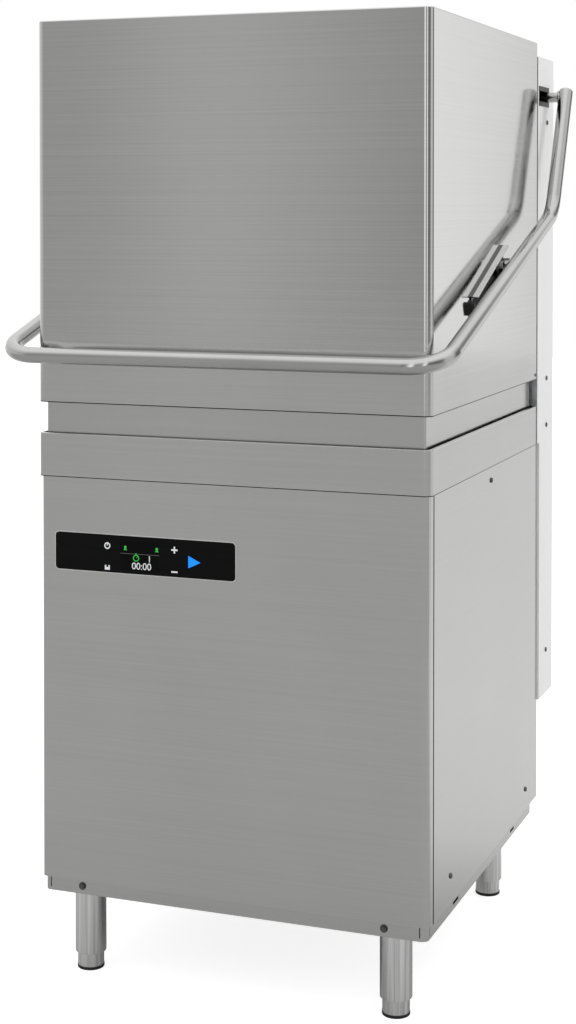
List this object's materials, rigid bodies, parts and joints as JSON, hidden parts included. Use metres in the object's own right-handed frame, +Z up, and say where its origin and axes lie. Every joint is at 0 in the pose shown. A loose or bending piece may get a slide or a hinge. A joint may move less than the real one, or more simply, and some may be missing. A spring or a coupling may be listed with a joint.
{
  "type": "commercial hood dishwasher",
  "caption": "Free-standing pass-through dishwasher: a box hood lifted by a bent tube handle over a tank cabinet on adjustable feet, with a rear spring column.",
  "frame": {"origin": "on the floor, under the centre of the whole machine's outline with the hood shut", "axes": "+Z up, the front with the control fascia faces -Y, +X is the right side seen from the front"},
  "size_m": [0.731, 0.8615, 1.492],
  "materials": {
    "stainless_brushed": "horizontally brushed",
    "stainless_bright": "finely brushed, nearly mirror",
    "stainless_satin": "satin",
    "stainless_polished": "polished",
    "galvanised": "galvanised sheet",
    "white_enamel": "smooth white",
    "black_gloss": "glossy",
    "display_glass": "clear over a dark display",
    "black_plastic": "moulded",
    "white_plastic": "moulded",
    "black_rubber": "matte",
    "spring_steel": "drawn wire",
    "cast_aluminium": "cast",
    "brass": "machined"
  },
  "bodies": {
    "cabinet": {"base_pan": "stainless_satin", "foot_tubes": "stainless_polished", "corner_posts": "galvanised", "table_band": "stainless_brushed", "wash_tank": "stainless_satin", "tank_gutter": "stainless_satin", "front_panel": "stainless_brushed", "right_side_panel": "stainless_bright", "left_side_panel": "stainless_bright", "rear_panel": "galvanised", "control_fascia": "black_gloss", "display_screen": "display_glass", "column_frame": "galvanised", "hood_guide_rails": "galvanised", "column_front_panel": "stainless_satin", "column_cover": "white_enamel", "axle_bushes": "black_plastic", "counterbalance_springs": "spring_steel", "lower_spindle": "stainless_satin", "wash_riser": "stainless_satin", "rinse_riser": "stainless_satin", "rack_rails": "stainless_satin", "tank_filters": "stainless_satin", "suction_filter": "stainless_satin", "overflow_standpipe": "white_plastic", "drain_outlet": "black_plastic", "tank_heater": "stainless_polished", "pump_casing": "black_plastic", "pump_motor": "cast_aluminium", "wash_manifold": "black_rubber", "boiler": "stainless_satin", "boiler_heater": "brass", "rinse_pump": "cast_aluminium", "dosing_pumps": "black_plastic", "electrical_box": "galvanised", "inlet_valve": "brass", "water_inlet": "brass", "cable_gland": "black_plastic", "hood_switch": "black_plastic", "panel_fasteners": "stainless_polished"},
    "hood": {"hood_shell": "stainless_brushed", "hood_liner": "stainless_satin", "lift_channels": "stainless_satin", "lift_stops": "black_rubber", "carriage_brackets": "galvanised", "guide_shoes": "white_plastic"},
    "handle": {"handle_tube": "stainless_polished", "handle_axle": "stainless_polished", "spring_levers": "galvanised", "lift_pins": "stainless_polished", "lift_sleeves": "white_plastic"},
    "lower_wash_arm": {"lower_wash_arm": "stainless_satin"},
    "lower_rinse_arm": {"lower_rinse_arm": "stainless_satin"},
    "upper_wash_arm": {"upper_wash_arm": "stainless_satin"},
    "upper_rinse_arm": {"upper_rinse_arm": "stainless_satin"},
    "pump_rotor": {"pump_rotor": "black_plastic"},
    "foot_front_left": {"foot_front_left": "stainless_polished"},
    "foot_front_right": {"foot_front_right": "stainless_polished"},
    "foot_rear_left": {"foot_rear_left": "stainless_polished"},
    "foot_rear_right": {"foot_rear_right": "stainless_polished"}
  },
  "joints": [
    {"name": "hood_slide", "type": "slide", "parent": "cabinet", "child": "hood", "axis": [0, 0, 1], "range_m": [0, 0.43]},
    {"name": "handle_lift", "type": "hinge", "parent": "cabinet", "child": "handle", "pos_m": [0, 0.37655, 1.3997], "axis": [-1, 0, 0], "range_deg": [0, 51.2], "deforming": ["counterbalance_springs"]},
    {"name": "lower_wash_arm_spin", "type": "hinge", "parent": "cabinet", "child": "lower_wash_arm", "pos_m": [0, -0.02825, 0.798], "axis": [0, 0, 1], "continuous": true},
    {"name": "lower_rinse_arm_spin", "type": "hinge", "parent": "cabinet", "child": "lower_rinse_arm", "pos_m": [0, -0.02825, 0.832], "axis": [0, 0, 1], "continuous": true},
    {"name": "upper_wash_arm_spin", "type": "hinge", "parent": "cabinet", "child": "upper_wash_arm", "pos_m": [0, -0.02825, 1.39], "axis": [0, 0, 1], "continuous": true},
    {"name": "upper_rinse_arm_spin", "type": "hinge", "parent": "cabinet", "child": "upper_rinse_arm", "pos_m": [0, -0.02825, 1.356], "axis": [0, 0, 1], "continuous": true},
    {"name": "pump_spin", "type": "hinge", "parent": "cabinet", "child": "pump_rotor", "pos_m": [0.085, -0.02825, 0.5], "axis": [1, 0, 0], "continuous": true},
    {"name": "foot_front_left_adjust", "type": "slide", "parent": "cabinet", "child": "foot_front_left", "axis": [0, 0, 1], "range_m": [-0.02, 0.02]},
    {"name": "foot_front_right_adjust", "type": "slide", "parent": "cabinet", "child": "foot_front_right", "axis": [0, 0, 1], "range_m": [-0.02, 0.02]},
    {"name": "foot_rear_left_adjust", "type": "slide", "parent": "cabinet", "child": "foot_rear_left", "axis": [0, 0, 1], "range_m": [-0.02, 0.02]},
    {"name": "foot_rear_right_adjust", "type": "slide", "parent": "cabinet", "child": "foot_rear_right", "axis": [0, 0, 1], "range_m": [-0.02, 0.02]}
  ],
  "couplings": [
    {"joint": "handle_lift", "follows": "hood_slide", "rad_per_m": 2.076}
  ]
}
